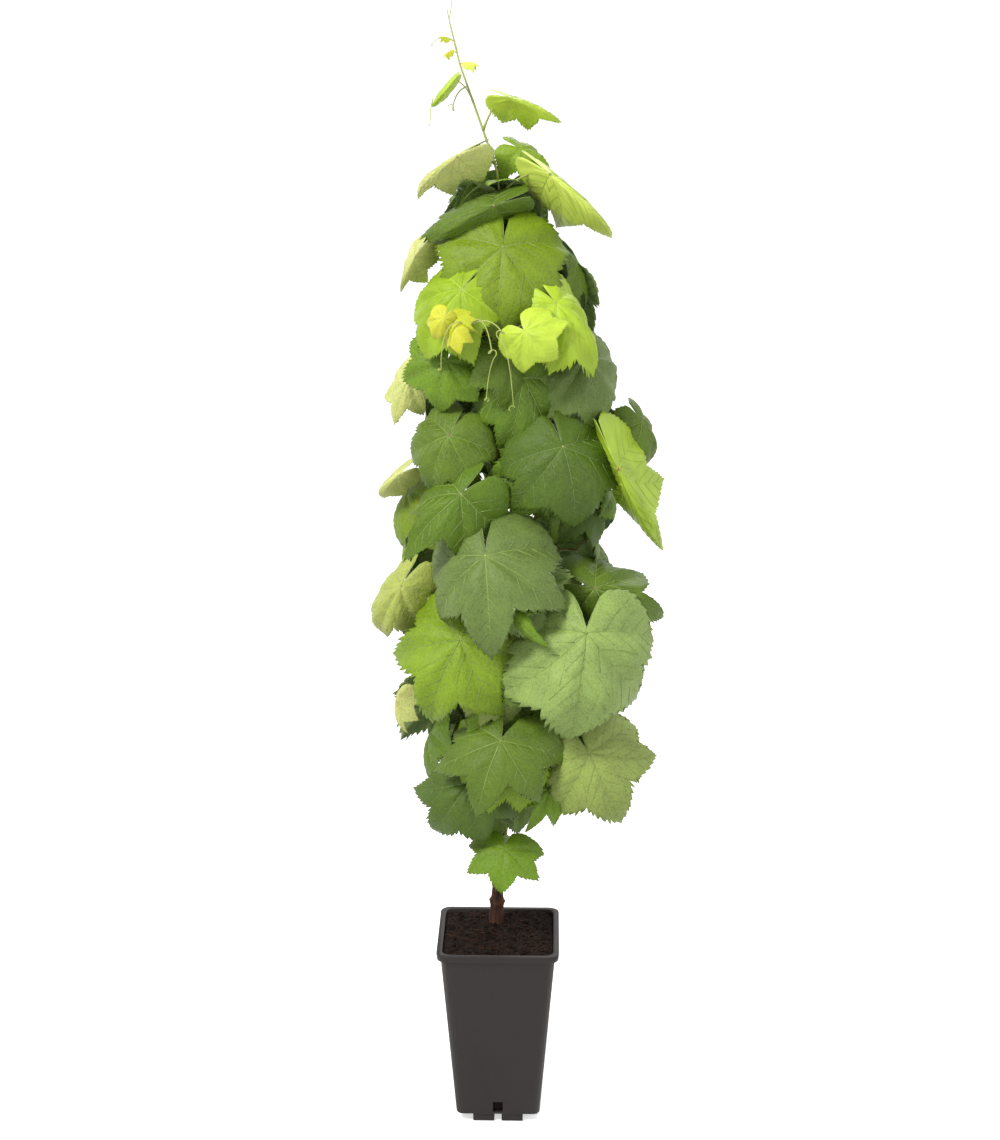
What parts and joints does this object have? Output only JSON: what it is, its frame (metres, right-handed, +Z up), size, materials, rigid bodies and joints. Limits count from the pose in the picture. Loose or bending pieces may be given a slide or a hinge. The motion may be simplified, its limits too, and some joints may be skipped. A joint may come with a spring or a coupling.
{
  "type": "potted grapevine",
  "caption": "Young climbing grapevine with lobed leaves round upright stems, rooted in compost in a tall square tapered pot.",
  "frame": {"origin": "middle of the flat underside of the pot, on the surface it stands on", "axes": "+Z up along the plant, -Y towards the front of the plant, +X to the right seen from the front"},
  "size_m": [0.3535, 0.2442, 1.3522],
  "materials": {
    "pot": "satin moulded",
    "compost": "loose crumbly compost",
    "bark": "fibrous brown bark",
    "green_cane": "smooth green young cane",
    "leaf_dark": "dark green leaf",
    "leaf_mid": "mid green leaf",
    "leaf_lime": "yellow-green leaf",
    "leaf_grey": "grey-green leaf",
    "leaf_pale": "pale underside of leaf",
    "leaf_yellow": "young yellow leaf"
  },
  "bodies": {
    "root": {"pot": "pot", "compost": "compost", "trunk": "bark", "second_cane": "green_cane", "left_bough": "bark", "right_bough": "bark", "low_right_bough": "bark", "low_left_bough": "bark", "high_back_bough": "bark", "low_back_bough": "bark", "young_tip": "leaf_yellow", "bright_centre": "leaf_lime", "centre_big": "leaf_grey", "right_big": "leaf_grey", "left_low": "leaf_mid", "right_dark": "leaf_dark", "mid_left": "leaf_lime", "mid_right": "leaf_lime", "upper_centre": "leaf_mid", "bottom_left": "leaf_mid", "bottom_right": "leaf_mid", "left_lime": "leaf_mid", "centre": "leaf_mid", "left_mid": "leaf_mid", "left_drop": "leaf_mid", "right_grey": "leaf_grey", "right_hang": "leaf_lime", "right_mid": "leaf_mid", "low_small": "leaf_mid", "bottom_under": "leaf_dark", "lowest_leaf": "leaf_mid", "dark_left": "leaf_dark", "cap_left": "leaf_pale", "cap_right": "leaf_mid", "droop_right": "leaf_lime", "top_right_leaf": "leaf_lime", "top_left_leaf": "leaf_lime", "left_slip": "leaf_pale", "left_pale": "leaf_pale", "left_slip_low": "leaf_pale", "right_mid_up": "leaf_dark", "back_top": "leaf_mid", "back_upper_left": "leaf_dark", "back_upper_right": "leaf_mid", "back_mid_left": "leaf_mid", "back_mid_right": "leaf_dark", "back_left": "leaf_mid", "back_right": "leaf_dark", "back_low_centre": "leaf_mid", "back_low_left": "leaf_dark", "back_low_right": "leaf_mid", "side_left_high": "leaf_mid", "side_left_mid": "leaf_mid", "side_left_low": "leaf_mid", "side_right_high": "leaf_dark", "side_right_mid": "leaf_mid", "side_right_low": "leaf_mid", "left_pale_high": "leaf_pale", "right_side_leaf": "leaf_mid", "left_roll": "leaf_pale"}
  },
  "joints": []
}
